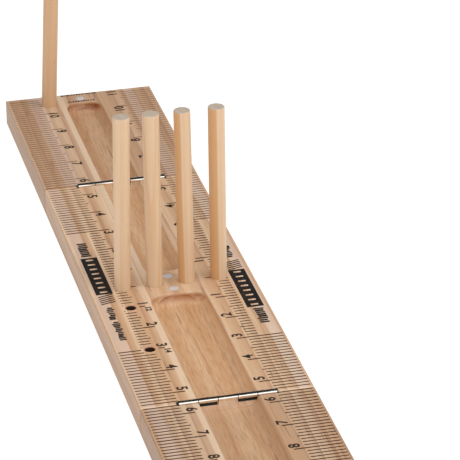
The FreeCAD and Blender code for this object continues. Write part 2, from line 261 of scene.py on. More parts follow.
# %% Recipe
class Recipe:
    """One material, built by expressions."""

    def __init__(self, name):
        self.material = bpy.data.materials.new(name)
        self.material.use_nodes = True
        self.tree = self.material.node_tree
        self.tree.nodes.clear()
        self.shader = self.tree.nodes.new("ShaderNodeBsdfPrincipled")
        self.output = self.tree.nodes.new("ShaderNodeOutputMaterial")
        self.tree.links.new(self.shader.outputs["BSDF"], self.output.inputs["Surface"])

    def connect(self, given, socket):
        """Give a socket a link or a plain value."""
        if isinstance(given, Value):
            self.tree.links.new(given.socket, socket)
        else:
            socket.default_value = given

    def node(self, kind, settings=None, inputs=None, output=0):
        """Any node: its settings first, then its sockets, by place or by name."""
        made = self.tree.nodes.new(kind)
        for key, setting in (settings or {}).items():
            setattr(made, key, setting)
        given = inputs.items() if isinstance(inputs, dict) else enumerate(inputs or [])
        for key, value in given:
            self.connect(value, made.inputs[key])
        return Value(self, made.outputs[output])

    def position(self):
        """The point's x, y and z in metres, in the loom's own frame."""
        coordinates = self.node("ShaderNodeTexCoord", output="Object")
        return self.split(coordinates)

    def split(self, vector):
        """The three numbers of a vector."""
        parts = self.node("ShaderNodeSeparateXYZ", None, [vector])
        return [Value(self, parts.socket.node.outputs[i]) for i in range(3)]

    def join(self, x, y, z):
        """A vector from three numbers."""
        return self.node("ShaderNodeCombineXYZ", None, [x, y, z])

    def noise(self, x, y, z, detail=2.0, roughness=0.5):
        """Smooth noise between about 0 and 1; the scale is in the numbers given."""
        inputs = {"Vector": self.join(x, y, z), "Scale": 1.0, "Detail": detail, "Roughness": roughness}
        return self.node("ShaderNodeTexNoise", None, inputs)

    def blend(self, amount, first, second, how="MIX"):
        """Mix two colours. Each is a colour or a value."""
        settings = {"data_type": "RGBA", "blend_type": how, "clamp_factor": True}
        mixed = self.tree.nodes.new("ShaderNodeMix")
        for key, setting in settings.items():
            setattr(mixed, key, setting)
        self.connect(amount, mixed.inputs["Factor"])
        self.connect(first, mixed.inputs[6])
        self.connect(second, mixed.inputs[7])
        return Value(self, mixed.outputs[2])

    def fifths(self, x):
        """How far x is from the nearest seam between knuckles, as a share of a knuckle's length."""
        share = (x / (HINGE_LENGTH / 5) + 2.5 + 10).fraction()
        return 0.5 - abs(share - 0.5)

    def bump(self, height, distance, strength=1.0):
        """A Bump node from a height between 0 and 1 that stands for distance metres."""
        inputs = {"Height": height, "Distance": distance, "Strength": strength}
        return self.node("ShaderNodeBump", None, inputs)

    def finish(self, **sockets):
        """Feed the shader's sockets. Names use _ for a space."""
        for name, given in sockets.items():
            self.connect(given, self.shader.inputs[name.replace("_", " ")])
        return self.material


print("hinge length for the knuckle seams:", round(HINGE_LENGTH / MM, 1), "mm")

# %% [markdown]
# ## Paint chart
#
# Colours are easier to choose as the 0 to 255 numbers of a paint chart, but a shader mixes light,
# which is linear. This turns one into the other.

# %% Paint chart
def paint(red, green, blue):
    """A linear colour from the 0-255 numbers of a paint chart."""
    def linear(channel):
        share = channel / 255.0
        return share / 12.92 if share <= 0.04045 else ((share + 0.055) / 1.055) ** 2.4
    return (linear(red), linear(green), linear(blue), 1.0)


print("middle grey is", round(paint(128, 128, 128)[0], 3), "of white")

# %% [markdown]
# ## Pine colours
#
# Pine is pale between its rings and honey-coloured in them, rosier where a face was planed, and
# brown where a cutter rubbed it. The colours are kept together, so that every recipe below mixes
# the same few.

# %% Pine colours
PINE_PALE = paint(228, 197, 163)
PINE_WARM = paint(206, 163, 123)
PINE_ROSE = paint(190, 148, 117)
PINE_LINE = paint(162, 104, 62)
PINE_SCORCH = paint(160, 100, 50)
PINE_FLOOR = paint(196, 142, 88)
PINE_BURN = paint(146, 82, 30)
# Pale torn patches on the trough floors, and a painted light on one trough wall.
PINE_TORN_AND_PAINTED_LIGHT = paint(232, 188, 140)
PINE_RESIN = paint(112, 66, 34)
PINE_SAP = paint(222, 196, 178)
# Painted highlight for the strip beside the troughs.
PINE_RIM_PAINTED_HIGHLIGHT = paint(226, 198, 168)
# Painted highlight for the boards' lips at one joint.
PINE_LIP_PAINTED_HIGHLIGHT = paint(240, 214, 184)
PINE_BEVEL = paint(190, 128, 96)
# Painted shade for the board's long sides.
SIDE_SHADE = (0.54, 0.44, 0.37, 1.0)
# Near-black painted shade for the bores and the groove's ends.
HOLLOW_PAINTED_SHADE = paint(34, 18, 12)
print("pine, at its palest:", PINE_PALE[:3])

# %% [markdown]
# ## Growth rings
#
# A board is cut from a log, so its figure is a slice through nested growth rings. Each ring is a
# cylinder round the pith, which here lies near the board's underside and runs nearly along it;
# where the saw plane cuts the cylinders, the face shows long bands that wander and now and then
# close to a point. The recipe takes the distance to that axis, bends it with slow noise, and keeps
# each ring's fraction. The finer noises are stretched along Y, because fibres run that way.

# %% Growth rings
WIDE_RING = 0.0066


def ring_figure(recipe, x, y, z, seed, ring, phase, pith):
    """How far a point lies through its growth ring: 0 in spring wood, 1 at the end of summer.

    share = fraction(distance from the pith / ring + phase), the distance bent by slow noise.
    """
    wander = recipe.noise(x * 16 + seed, y * 3.0 + seed, z * 16, 2.0) - 0.5
    ripple = recipe.noise(x * 80 + seed, y * 9 - seed, z * 80, 2.0) - 0.5
    across = x - pith[0] + wander * 0.006
    up = z - pith[1] + wander * 0.003
    distance = (across * across + up * up).root() + ripple * 0.0014 + y * 0.004
    return (distance / ring + phase).fraction()


class Grain:
    """A point on a board: its place, its growth ring, and the noises that its fibres follow.

    late is the dark half of a ring, line only its hard last edge, and below_top is 0 on the
    board's face and 1 from 1.6 mm down.
    """

    def __init__(self, recipe, seed, ring, phase, pith):
        x, y, z = recipe.position()
        self.seed = seed
        self.x, self.y, self.z = x, y, z
        self.rings = ring_figure(recipe, x, y, z, seed, ring, phase, pith)
        self.late = self.rings.step(0.22, 0.90) * self.rings.step(1.0, 0.94)
        self.line = self.rings.step(0.74, 0.93) * self.rings.step(1.0, 0.955)
        self.bands = recipe.noise(x * 110 + seed * 3, y * 1.3, z * 80, 2.0)
        self.fibres = recipe.noise(x * 2600, y * 42 + seed, z * 2600, 3.0, 0.62)
        self.hairs = recipe.noise(x * 900, y * 16 - seed, z * 900, 2.0, 0.6)
        self.below_top = z.step(top_z - 0.3 * MM, top_z - 1.6 * MM)


print("rings across half a board:", round(half_width / WIDE_RING))

# %% [markdown]
# ## Bare wood
#
# The bare board comes first: broad pale and warm bands, the rings over them, then hairs, fibres,
# brown streaks and short flecks of resin. Each is one blend with its own mask, weak enough that the
# layer under it shows through.

# %% Bare wood
def bare_wood(recipe, grain):
    """Sawn pine before any cutter touches it. The rings are calmer below the face."""
    x, y, z, seed = grain.x, grain.y, grain.z, grain.seed
    streaks = recipe.noise(x * 380 + seed, y * 7.5, z * 380, 2.0, 0.55)
    flecks = recipe.noise(x * 900 + seed, y * 38, z * 900, 1.0)
    calm = 1.0 - z.step(top_z - 1.0 * MM, top_z - 2.0 * MM) * 0.85
    color = recipe.blend(grain.bands.step(0.34, 0.66) * 0.85, PINE_PALE, PINE_WARM)
    color = recipe.blend(grain.late * calm * 0.50, color, PINE_ROSE)
    color = recipe.blend(grain.line * calm * 0.24, color, PINE_LINE)
    color = recipe.blend(grain.hairs.step(0.46, 0.70) * 0.46, color, PINE_WARM)
    color = recipe.blend(grain.fibres.step(0.46, 0.78) * 0.26, color, PINE_SCORCH)
    color = recipe.blend(streaks.step(0.56, 0.70) * 0.30, color, PINE_LINE)
    return recipe.blend(flecks.step(0.70, 0.77) * 0.55, color, PINE_RESIN)


def stripes(recipe, grain, color, resin, sapwood):
    """Long stripes that sway with the bands: pale sapwood on the face, and one streak of resin."""
    x, y = grain.x, grain.y
    for low_x, high_x in sapwood:
        sway = x + (grain.bands - 0.5) * 0.006
        pale = sway.step(low_x - 0.7 * MM, low_x) * sway.step(high_x + 0.7 * MM, high_x)
        color = recipe.blend(pale * (1 - grain.below_top) * 0.60, color, PINE_SAP)
    middle_x, low_y, high_y = resin
    streak = abs(x - middle_x + (grain.bands - 0.5) * 0.004).step(0.55 * MM, 0.15 * MM)
    streak = streak * y.step(low_y, low_y + 5 * MM) * y.step(high_y, high_y - 5 * MM)
    return recipe.blend(streak * 0.55, color, PINE_RESIN)


print("bare wood mixes", PINE_PALE[:3], "and", PINE_WARM[:3])

# %% [markdown]
# ## What the cutter leaves in a trough, and a painted light on one wall
#
# A round-nosed cutter tears the floor a little along the grain and scorches the closed end, where it
# stops and turns. The wall on the +X side faces away from the key lamp and is made paler by a
# painted light. The marks are kept inside the trough by masks on its half width, its closed end and
# its depth.

# %% Troughs
END_REACH = 7.5 * MM


def by_side(y, pair):
    """The first of the pair on the -Y side of the middle, and the second on the +Y side."""
    far_share = y.step(-1 * MM, 1 * MM)
    return far_share * (pair[1] - pair[0]) + pair[0]


def trough_marks(recipe, grain, color, troughs, burnt):
    """Floor, walls, closed end and rim of the troughs, over the bare wood."""
    x, y, z, seed = grain.x, grain.y, grain.z, grain.seed
    half = by_side(y, troughs["half"])
    within = (abs(x) - half).step(2.0 * MM, 0.5 * MM)
    inside = within * z.step(floor_z - 0.6 * MM, floor_z - 0.3 * MM)
    cut = inside * grain.below_top
    off_floor = z.step(floor_z + 0.2 * MM, floor_z + 3.2 * MM)
    color = recipe.blend(cut * 0.36, color, PINE_FLOOR)
    torn = recipe.noise(x * 1500 - seed, y * 90, z * 300, 2.0, 0.6)
    color = recipe.blend(cut * torn.step(0.50, 0.66) * 0.34, color, PINE_LINE)
    color = recipe.blend(cut * torn.step(0.46, 0.32) * 0.34, color, PINE_TORN_AND_PAINTED_LIGHT)
    # Painted light: the trough wall on the +X side, which faces away from the key lamp, is made paler.
    color = recipe.blend(cut * off_floor * x.step(0.0, 6 * MM) * 0.45, color, PINE_TORN_AND_PAINTED_LIGHT)

    at_end = abs(y - by_side(y, troughs["closed"])).step(END_REACH, 1.5 * MM) * inside
    end_wall = at_end * grain.below_top * off_floor
    arcs = grain.late * 0.35 + grain.line * 0.65
    color = recipe.blend(end_wall * arcs * 0.85, color, PINE_LINE)
    smoke = recipe.noise(x * 240 + seed, y * 160, z * 260, 3.0)
    to_right = (x / half).step(-0.9, 0.7) * 0.75 + 0.25
    burn = end_wall * to_right * smoke.step(0.18, 0.48)
    color = recipe.blend(burn * burnt, color, PINE_BURN)
    color = recipe.blend(burn * burnt * grain.rings.step(0.5, 0.9) * 0.5, color, PINE_LINE)
    rim = z.step(top_z - 1.5 * MM, top_z - 0.7 * MM) * z.step(top_z - 0.1 * MM, top_z - 0.3 * MM)
    return recipe.blend(at_end * rim * 0.45, color, PINE_LINE)


print(f"trough floors lie {(top_z - floor_z) / MM:.2f} mm down")

# %% [markdown]
# ## Edges, joints and holes
#
# A painted highlight runs beside the trough: a paler strip where its rounded edge would catch the
# light. The sides get painted shade and are browner than the face. At the joint on the -Y side the
# boards' lips get a painted highlight, and at the other joint they are dark. The barrel's groove
# ends in a small black pocket of painted shade. Each empty hole has a brown bevel and a bore
# darkened by painted shade.

# %% Edges, joints and holes
bores = [mount for mount in frame["record"]["mounts"] if mount["kind"] == "bore"]
HOLES = [Vector(mount["pos_m"]) for mount in bores]
HOLE_RADIUS = bores[0]["dims"]["r_mm"] * MM
STRIP_WIDTH = 4.0 * MM
GROOVE_RADIUS = 2.2 * MM


def edge_marks(recipe, grain, color, half_widths):
    """A painted highlight on the strip left of the trough, and painted shade on the board's two sides."""
    beside = (grain.x + by_side(grain.y, half_widths)) * -1.0
    strip = beside.step(-0.2 * MM, 0.2 * MM)
    strip = strip * beside.step(STRIP_WIDTH + 0.4 * MM, STRIP_WIDTH - 0.4 * MM)
    strip = strip * grain.z.step(top_z - 1.5 * MM, top_z - 0.9 * MM)
    # Painted highlight: the strip beside the trough is made paler, where its rounded edge would catch the light.
    color = recipe.blend(strip * 0.72, color, PINE_RIM_PAINTED_HIGHLIGHT)
    # Painted shade: the board's two long sides are darkened.
    side = abs(grain.x).step(half_width - 0.5 * MM, half_width - 0.1 * MM)
    return recipe.blend(side * 0.78, color, recipe.blend(1.0, color, SIDE_SHADE, "MULTIPLY"))


def joint_marks(recipe, grain, color):
    """A painted highlight on the lips at one joint and dark lips at the other, the leaf's line below them,
    and painted shade at the groove's ends.
    """
    x, y, z = grain.x, grain.y, grain.z
    joint = abs(abs(y) - joint_y)
    lip = joint.step(1.0 * MM, 0.5 * MM) * z.step(top_z - 0.9 * MM, top_z - 0.3 * MM)
    # Painted highlight: the lips at the joint on the -Y side are made paler, as if they caught the light.
    color = recipe.blend(lip * y.step(0.0, -1 * MM) * 0.40, color, PINE_LIP_PAINTED_HIGHLIGHT)
    color = recipe.blend(lip * y.step(0.0, 1 * MM) * 0.45, color, PINE_LINE)
    leaf_line = joint.step(1.75 * MM, 1.35 * MM) * z.step(top_z - 2 * MM, top_z - 3 * MM)
    color = recipe.blend(leaf_line * 0.35, color, PINE_LINE)
    drop = z - hinge_z
    away = (joint * joint + drop * drop).root()
    # Painted shade: the ends of the barrel's groove are darkened to a near-black pocket.
    groove = away.step(GROOVE_RADIUS + 0.3 * MM, GROOVE_RADIUS - 0.3 * MM)
    groove = groove * abs(x).step(26.0 * MM, 26.6 * MM) * abs(x).step(28.2 * MM, 27.7 * MM)
    return recipe.blend(groove * 0.9, color, HOLLOW_PAINTED_SHADE)


def hole_marks(recipe, grain, color):
    """A brown bevel, and painted shade darkening the bore, at every empty hole."""
    for hole in HOLES:
        away_x = grain.x - hole.x
        away_y = grain.y - hole.y
        away = (away_x * away_x + away_y * away_y).root()
        bevel = away.step(HOLE_RADIUS + 1.0 * MM, HOLE_RADIUS + 0.7 * MM)
        color = recipe.blend(bevel * 0.6, color, PINE_BEVEL)
        # Painted shade: the bore's wall is darkened to near black.
        bore = away.step(HOLE_RADIUS + 0.25 * MM, HOLE_RADIUS + 0.1 * MM)
        bore = bore * grain.z.step(top_z - 0.15 * MM, top_z - 0.4 * MM)
        color = recipe.blend(bore * 0.97, color, HOLLOW_PAINTED_SHADE)
    return color


print("empty holes:", len(HOLES), "radius", HOLE_RADIUS / MM, "mm")

# %% [markdown]
# ## One pine for each board
#
# The three boards come from different planks, so each has its own seed, rings and pith. The wings
# are a shade darker than the centre board. The layers are put together in the order in which they
# came about: wood, cutter, stripes, end grain and the plank's own tone; last come the edges, the
# joints and the holes, with their painted highlights and painted shade.

# %% Pine
def pine(name, seed, rings, tone, ends, troughs, burnt, resin, sapwood):
    """Pine for one board.

    seed shifts all its noise. rings is the width and phase of its growth rings and their pith.
    tone multiplies the colour. ends are its end faces. troughs is the y of the closed ends and the
    half width for the -Y and the +Y side. burnt is how dark the cutter left the closed ends. resin
    is x, y low and y high of one resin streak. sapwood is a list of paler strips as x low, x high.
    """
    recipe = Recipe(name)
    grain = Grain(recipe, seed, *rings)
    color = bare_wood(recipe, grain)
    color = trough_marks(recipe, grain, color, troughs, burnt)
    color = stripes(recipe, grain, color, resin, sapwood)
    end_grain = 0.0
    for end_y in ends:
        end_grain = abs(grain.y - end_y).step(0.35 * MM, 0.12 * MM) + end_grain
    rosy = end_grain * (grain.rings.step(0.25, 0.8) * 0.6 + 0.2) * 0.5
    color = recipe.blend(rosy, color, PINE_ROSE)
    color = recipe.blend(1.0, color, (*tone, 1.0), "MULTIPLY")
    color = edge_marks(recipe, grain, color, troughs["half"])
    color = joint_marks(recipe, grain, color)
    color = hole_marks(recipe, grain, color)
    height = grain.fibres * 0.5 + grain.hairs * 0.3 - grain.late * 0.25
    normal = recipe.bump(height, 0.08 * MM, 0.55)
    rough = grain.hairs * 0.12 + 0.46 + end_grain * 0.2
    recipe.finish(Base_Color=color, Roughness=rough, Normal=normal)
    return recipe.finish(Coat_Weight=0.10, Coat_Roughness=0.35)


print("marks come in this order: wood, cutter, stripes, end grain, tone, edges, joints, holes")

# %% [markdown]
# ## The three boards
#
# The record's openings stop a little short of the troughs' walls and ends, so that they clear the
# hollow corners. These insets bring the masks back to the walls. The CAD boards keep their meshes
# and only change their material.

# %% The three boards
NEAR_OPENING_INSET = 1.875 * MM
FAR_OPENING_INSET = 1.925 * MM
END_OPENING_INSET = 7.75 * MM
near_half = record_box("centre_near_trough")[1].x + NEAR_OPENING_INSET
far_half = record_box("centre_far_trough")[1].x + FAR_OPENING_INSET
rib_half = record_box("centre_far_trough")[0].y - END_OPENING_INSET
wing_end = record_box("far_wing_trough")[1].y + END_OPENING_INSET
centre_troughs = {"closed": (-rib_half, rib_half), "half": (near_half, far_half)}
wing_troughs = {"closed": (-wing_end, wing_end), "half": (near_half, far_half)}
boards = {
    "centre_board": pine("pine_centre", 3.7, (WIDE_RING, 0.66, (0.0, 0.0005)), (1.0, 1.0, 1.0),
                         (-joint_y, joint_y), centre_troughs, 0.70, (-0.0033, -0.042, -0.024),
                         [(-0.046, -0.0385), (0.0395, 0.046)]),
    "near_wing": pine("pine_near", 9.1, (WIDE_RING, 0.60, (0.001, 0.000)), (0.86, 0.84, 0.84),
                      (-loom_end_y, -joint_y), wing_troughs, 0.45, (0.012, -0.23, -0.19),
                      [(-0.044, -0.038)]),
    "far_wing": pine("pine_far", 17.3, (0.0060, 0.35, (0.002, -0.002)), (0.85, 0.82, 0.82),
                     (joint_y, loom_end_y), wing_troughs, 1.0, (0.004, 0.18, 0.21),
                     [(-0.033, -0.026), (0.030, 0.036)]),
}


def refinish(node, material):
    """Put a material in every slot of a CAD node."""
    thing = nodes[node]
    if not thing.data.materials:
        thing.data.materials.append(material)
    for index in range(len(thing.data.materials)):
        thing.data.materials[index] = material


for board, material in boards.items():
    refinish(board, material)
print("pine boards:", list(boards))

# %% [markdown]
# ## Nickel hinges, pins, screws and magnets
#
# Cheap butt hinges are stamped steel with a bright nickel plate. Plate is almost a mirror, but it is
# never perfectly flat: fine lines from polishing run along the barrel and a slight orange peel
# breaks up the reflections. The magnets are the same plate, satin, and their colour carries a faint
# pink that is a painted reflection of the pine.

# %% Metal
def nickel(name, color, roughness, streaks, dull, gap_shade_strength=0.0, metallic=1.0):
    """Plated steel. streaks stretches the polishing lines along X and dull is how much they roughen. The
    number after dull is how strongly painted shade darkens the gap between the leaves and the slots
    under the seams between knuckles; it also roughens the gap."""
    recipe = Recipe(name)
    x, y, z = recipe.position()
    lines = recipe.noise(x * 90, y * streaks, z * streaks, 2.0, 0.6)
    peel = recipe.noise(x * 700, y * 700, z * 700, 2.0)
    tarnish = recipe.noise(x * 160, y * 160, z * 160, 3.0)
    shade = recipe.blend(tarnish.step(0.45, 0.75) * 0.25, color, paint(186, 176, 160))
    between = abs(abs(y) - joint_y).step(0.30 * MM, 0.22 * MM)
    below = z - hinge_z
    # Painted shade: the gap between the leaves and the slots under the knuckle seams are darkened to near black.
    leaf_gap_shade = between * below.step(-4.4 * MM, -3.6 * MM) * below.step(-1.3 * MM, -1.6 * MM)
    seam = recipe.fifths(x).step(0.030, 0.014) * below.step(-1.72 * MM, -1.66 * MM) * gap_shade_strength
    shade = recipe.blend(leaf_gap_shade * 0.97 * gap_shade_strength, shade, paint(20, 16, 14))
    shade = recipe.blend(seam * 0.9, shade, paint(20, 16, 14))
    rough = lines * dull + roughness + leaf_gap_shade * 0.4 * gap_shade_strength
    normal = recipe.bump(peel * 0.7 + lines * 0.3, 0.02 * MM, 0.15)
    return recipe.finish(Base_Color=shade, Metallic=metallic, Roughness=rough, Normal=normal)


hinge_nickel = nickel("hinge_nickel", paint(250, 244, 236), 0.03, 3200.0, 0.05, 1.0)
pin_steel = nickel("pin_steel", paint(214, 212, 208), 0.18, 2600.0, 0.15)
screw_nickel = nickel("screw_nickel", paint(214, 208, 198), 0.20, 1500.0, 0.18)
# The faint pink in this colour is a painted reflection of the pine.
magnet_nickel = nickel("magnet_nickel", paint(250, 243, 244), 0.40, 900.0, 0.16, metallic=0.45)
metals = {"leaf": hinge_nickel, "pin": pin_steel, "screws": screw_nickel, "magnet": magnet_nickel}
for node in nodes:
    for word, material in metals.items():
        if node.endswith(word) or (word == "magnet" and "magnet" in node):
            refinish(node, material)
            print(f"{node:28s} {material.name}")

# %% [markdown]
# ## Building meshes from arrays
#
# Every new piece is a surface worked out on a grid: one array of points, one array of quads. The
# helper makes the mesh in one call each for points and faces, and smooths it if asked.

# %% Mesh helpers
def surface(name, points, quads, material, body, smooth=True):
    """A mesh object from an array of points and an array of faces, riding on a CAD body."""
    mesh = bpy.data.meshes.new(name)
    mesh.from_pydata(points.reshape(-1, 3).tolist(), [], quads.tolist())
    mesh.update()
    mesh.polygons.foreach_set("use_smooth", np.full(len(mesh.polygons), smooth))
    thing = bpy.data.objects.new(name, mesh)
    bpy.context.scene.collection.objects.link(thing)
    mesh.materials.append(material)
    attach(thing, body)
    return thing


def tube_quads(rings, around):
    """Faces between rings of around points each, closed round the tube, facing outwards."""
    ring = np.arange(rings - 1)[:, None]
    turn = np.arange(around)[None, :]
    after = (turn + 1) % around
    a = ring * around + turn
    b = ring * around + after
    return np.stack([a, b, b + around, a + around], axis=-1).reshape(-1, 4)


print("faces of a tube of 3 rings of 8 points:", len(tube_quads(3, 8)))

# %% [markdown]
# ## The dowel pegs
#
# A dowel is a stick pulled through a round cutter, so its grain runs along it and the growth rings
# cross its section as nearly flat layers. On the outside they show as a few long stripes, one side
# often much darker. Each peg's surface is radius(height) times a circle: the radius is the packed
# peg's, less a soft sanded corner at both ends and a few hundredths of a millimetre of wander. The
# peg's own coordinates are kept in an attribute, so the stripes follow its lean.

# %% Dowel shape
PEG_AROUND = 96
PEG_EASE = 0.75 * MM
PEG_SWAY = 0.018 * MM


def peg_frame(node, lift_joint):
    """A peg's foot, its direction, its radius and its length, from its box and its joint."""
    low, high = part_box(node)
    direction = Vector(joint_named(lift_joint)["axis"]).normalized()
    radius = (high.y - low.y) / 2
    reach = abs(direction.x) * radius
    length = (high.z - low.z - 2 * reach) / direction.z
    middle = (low + high) / 2
    return middle - direction * (length / 2), direction, radius, length


def dowel_outline(radius, length):
    """Heights and radii up the peg: flat foot, quarter round, straight shank, and back again.

    The quarter round is ease * (1 - sin t) in from the side and ease * (1 - cos t) up.
    """
    turn = np.linspace(0.0, math.pi / 2, 9)
    corner = radius - PEG_EASE * (1 - np.sin(turn))
    corner_up = PEG_EASE * (1 - np.cos(turn))
    flat = np.linspace(0.0, 1.0, 6)[:-1] * (radius - PEG_EASE)
    shank = np.linspace(PEG_EASE, length - PEG_EASE, 42)[1:-1]
    top = [length - corner_up[::-1], np.full(5, length)]
    heights = np.concatenate([np.zeros(5), corner_up, shank, *top])
    radii = np.concatenate([flat, corner, np.full(40, radius), corner[::-1], flat[::-1]])
    return heights, radii


def dowel_grid(radius, length, seed):
    """Rings of points in the peg's own frame: (r cos a, r sin a, height).

    r = outline radius - |sin(61 height + seed) cos(2 a + seed)| * a few hundredths of a millimetre.
    """
    heights, radii = dowel_outline(radius, length)
    angle = np.linspace(0.0, 2 * math.pi, PEG_AROUND, endpoint=False)
    sway = np.sin(heights[:, None] * 61 + seed) * np.cos(2 * angle[None, :] + seed) * PEG_SWAY
    sway = sway * np.clip(radii / radius, 0, 1)[:, None] ** 6
    r = radii[:, None] - abs(sway)
    tall = np.broadcast_to(heights[:, None], r.shape)
    return np.stack([r * np.cos(angle), r * np.sin(angle), tall], axis=-1)


def dowel_faces(rings):
    """Faces between the rings, where the first and the last ring are each a single point."""
    quads = tube_quads(rings, PEG_AROUND)[PEG_AROUND:-PEG_AROUND] - (PEG_AROUND - 1)
    around = np.arange(PEG_AROUND)
    after = (around + 1) % PEG_AROUND
    last = (rings - 2) * PEG_AROUND + 1
    last_ring = last - PEG_AROUND
    foot = np.stack([np.zeros_like(around), 1 + after, 1 + around], axis=-1)
    top = np.stack([np.full_like(around, last), last_ring + around, last_ring + after], axis=-1)
    return quads.tolist() + foot.tolist() + top.tolist()


for node, lift in {"peg_one": "peg_one_lift", "end_peg": "end_peg_lift"}.items():
    print(node, "leans towards", [round(v, 3) for v in peg_frame(node, lift)[1]])

# %% [markdown]
# ## From the surface to a peg
#
# The rings are turned from the peg's own frame into the loom's, and the two end rings shrink to one
# point each, so the mesh is closed. The own frame's places are kept as an attribute for the wood.

# %% Dowel mesh
def dowel(name, node, lift_joint, body, material, seed):
    """One peg as a surface of revolution: point = foot + direction * s + radius(s) * circle(angle)."""
    foot, direction, radius, length = peg_frame(node, lift_joint)
    grid = dowel_grid(radius, length, seed)
    local = grid.reshape(-1, 3)[PEG_AROUND - 1:-(PEG_AROUND - 1)].copy()
    local[0] = (0, 0, 0)
    local[-1] = (0, 0, length)
    side = Vector((0, 1, 0)).cross(direction).normalized()
    basis = np.array([side, direction.cross(side), direction])
    points = np.array(foot) + local @ basis
    mesh = bpy.data.meshes.new(name)
    mesh.from_pydata(points.tolist(), [], dowel_faces(len(grid)))
    mesh.polygons.foreach_set("use_smooth", np.full(len(mesh.polygons), True))
    own = mesh.attributes.new("peg_place", "FLOAT_VECTOR", "POINT")
    own.data.foreach_set("vector", local.astype(np.float32).ravel())
    mesh.materials.append(material)
    peg = bpy.data.objects.new(name, mesh)
    bpy.context.scene.collection.objects.link(peg)
    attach(peg, body)
    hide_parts(node)
    print(f"{name}: radius {radius / MM:.2f} mm, length {length / MM:.1f} mm")
    return peg


print("points in a dowel ring:", PEG_AROUND)

# %% [markdown]
# ## Dowel wood
#
# Seen from the side a dowel shows its layers as long stripes, and one side of it is darker. The
# recipe tilts flat layers through the stick, lets them run out slowly along it, and darkens
# everything past one plane. The cut ends are grey and porous.

# %% Dowel wood
DOWEL_PALE = paint(217, 186, 153)
DOWEL_WARM = paint(205, 168, 129)
DOWEL_LATE = paint(204, 150, 88)
DOWEL_DARK_SIDE = paint(201, 148, 92)
DOWEL_HONEY = paint(192, 146, 102)
DOWEL_FIBRE = paint(180, 128, 80)
DOWEL_FLECK = paint(130, 84, 48)
DOWEL_END = paint(193, 177, 160)
DOWEL_PORE = paint(154, 134, 112)


def dowel_wood(name, seed, facing, layer, slope, figure, edge, stripe, warm, length):
    """Dowel wood.

    facing is the way its layers look, layer their thickness and slope how fast they run out along
    the peg. figure is how strongly they show. Beyond edge, the peg is darker by stripe. warm is how
    far the whole peg leans to honey.
    """
    recipe = Recipe(name)
    place = recipe.node("ShaderNodeAttribute", {"attribute_name": "peg_place"}, None, "Vector")
    x, y, z = recipe.split(place)
    across_layers = x * math.cos(facing) + y * math.sin(facing)
    along_layers = y * math.cos(facing) - x * math.sin(facing)
    wander = recipe.noise(x * 60 + seed, y * 60, z * 14 + seed, 2.0) - 0.5
    depth = across_layers + wander * 0.0016 + along_layers * along_layers * 18 + z * slope
    rings = (depth / layer + seed).fraction()
    late = rings.step(0.30, 0.84) * rings.step(1.0, 0.92)
    side = (across_layers + wander * 0.0012).step(edge, edge + 0.5 * MM)
    fibres = recipe.noise(x * 2400 + seed, y * 2400, z * 38, 3.0, 0.6)
    hairs = recipe.noise(x * 800 + seed, y * 800, z * 13, 2.0, 0.6)
    flecks = recipe.noise(x * 1100, y * 1100 + seed, z * 70, 1.0)
    color = recipe.blend(hairs.step(0.40, 0.75) * 0.30, DOWEL_PALE, DOWEL_WARM)
    color = recipe.blend(late * figure, color, DOWEL_LATE)
    color = recipe.blend(side * stripe, color, DOWEL_DARK_SIDE)
    color = recipe.blend(warm, color, DOWEL_HONEY)
    color = recipe.blend(fibres.step(0.50, 0.80) * 0.20, color, DOWEL_FIBRE)
    color = recipe.blend(flecks.step(0.74, 0.80) * 0.35, color, DOWEL_FLECK)
    ends = z.step(0.6 * MM, 0.1 * MM) + z.step(length - 0.6 * MM, length - 0.1 * MM)
    pores = recipe.noise(x * 2600, y * 2600, seed, 2.0)
    end_color = recipe.blend(late * 0.15 + pores * 0.25, DOWEL_END, DOWEL_PORE)
    color = recipe.blend(ends, color, end_color)
    normal = recipe.bump(fibres * 0.6 + hairs * 0.4, 0.07 * MM, 0.5)
    return recipe.finish(Base_Color=color, Roughness=hairs * 0.12 + 0.50, Normal=normal)


print("dowel wood, at its palest:", DOWEL_PALE[:3])

# %% [markdown]
# ## The five pegs
#
# No two sticks are alike. The first two are pale, the next two have a brown side that starts at a
# different distance from the middle, and the one at the far end is honey-coloured all over.

# %% The five pegs
PEGS = {
    "dowel_one": ("peg_one", "peg_one_lift", "first_peg",
                  {"seed": 1.3, "facing": 3.4, "layer": 0.0050, "slope": 0.003, "figure": 0.12,
                   "edge": 0.0044, "stripe": 0.30, "warm": 0.00}),
    "dowel_two": ("peg_two", "peg_two_lift", "second_peg",
                  {"seed": 4.9, "facing": 4.30, "layer": 0.0021, "slope": 0.026, "figure": 0.30,
                   "edge": 0.0060, "stripe": 0.00, "warm": 0.00}),
    "dowel_three": ("peg_three", "peg_three_lift", "third_peg",
                    {"seed": 7.2, "facing": 3.32, "layer": 0.0034, "slope": 0.006, "figure": 0.20,
                     "edge": 0.0026, "stripe": 0.80, "warm": 0.02}),
    "dowel_four": ("peg_four", "peg_four_lift", "fourth_peg",
                   {"seed": 11.8, "facing": 3.36, "layer": 0.0046, "slope": 0.003, "figure": 0.14,
                    "edge": 0.0016, "stripe": 0.78, "warm": 0.02}),
    "dowel_end": ("end_peg", "end_peg_lift", "last_peg",
                  {"seed": 15.1, "facing": 3.36, "layer": 0.0044, "slope": 0.003, "figure": 0.20,
                   "edge": 0.0041, "stripe": 0.45, "warm": 0.50}),
}
for name, (node, lift, body, look_of_it) in PEGS.items():
    full_length = peg_frame(node, lift)[3]
    wood = dowel_wood(f"{name}_wood", length=full_length, **look_of_it)
    dowel(name, node, lift, body, wood, look_of_it["seed"])

